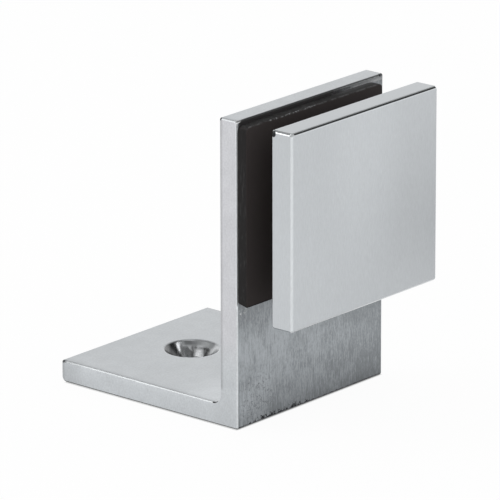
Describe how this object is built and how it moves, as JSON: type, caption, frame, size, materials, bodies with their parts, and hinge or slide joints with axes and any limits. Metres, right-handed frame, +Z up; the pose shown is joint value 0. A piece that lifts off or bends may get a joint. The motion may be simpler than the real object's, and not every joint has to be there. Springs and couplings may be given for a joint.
{
  "type": "glass clamp",
  "caption": "Right-angle glass clamp: an L bracket with a countersunk hole in its foot, and a clamp plate drawn against its leg by screws, with rubber gaskets to grip a glass panel.",
  "frame": {"origin": "centre of the foot's countersunk fixing hole, on the foot's mounting face", "axes": "+Z up the leg and away from the mounting face, -Y from the leg towards the clamp plate, +X along the width"},
  "size_m": [0.05, 0.0676, 0.0705],
  "materials": {
    "satin_steel": "satin ground and polished, the leg's face under the gasket left raw",
    "screw_steel": "turned, plain",
    "black_rubber": "matt, smooth skin",
    "nylon": "matt, natural"
  },
  "bodies": {
    "fixed_bracket": {"bracket": "satin_steel", "bracket_gasket": "black_rubber", "screw_sleeve_left": "nylon", "screw_sleeve_right": "nylon"},
    "moving_plate": {"clamp_plate": "satin_steel", "plate_gasket": "black_rubber"},
    "left_screw": {"clamp_screw_left": "screw_steel"},
    "right_screw": {"clamp_screw_right": "screw_steel"}
  },
  "joints": [
    {"name": "left_screw_turn", "type": "hinge", "parent": "fixed_bracket", "child": "left_screw", "pos_m": [-0.01, -0.03, 0.048], "axis": [0, 1, 0], "range_deg": [-180, 720]},
    {"name": "right_screw_turn", "type": "hinge", "parent": "fixed_bracket", "child": "right_screw", "pos_m": [0.01, -0.03, 0.048], "axis": [0, 1, 0], "range_deg": [-180, 720]},
    {"name": "plate_slide", "type": "slide", "parent": "fixed_bracket", "child": "moving_plate", "axis": [0, -1, 0], "range_m": [-0.0005, 0.002]}
  ],
  "couplings": [
    {"joint": "left_screw_turn", "follows": "plate_slide", "rad_per_m": 6283.2},
    {"joint": "right_screw_turn", "follows": "plate_slide", "rad_per_m": 6283.2}
  ]
}
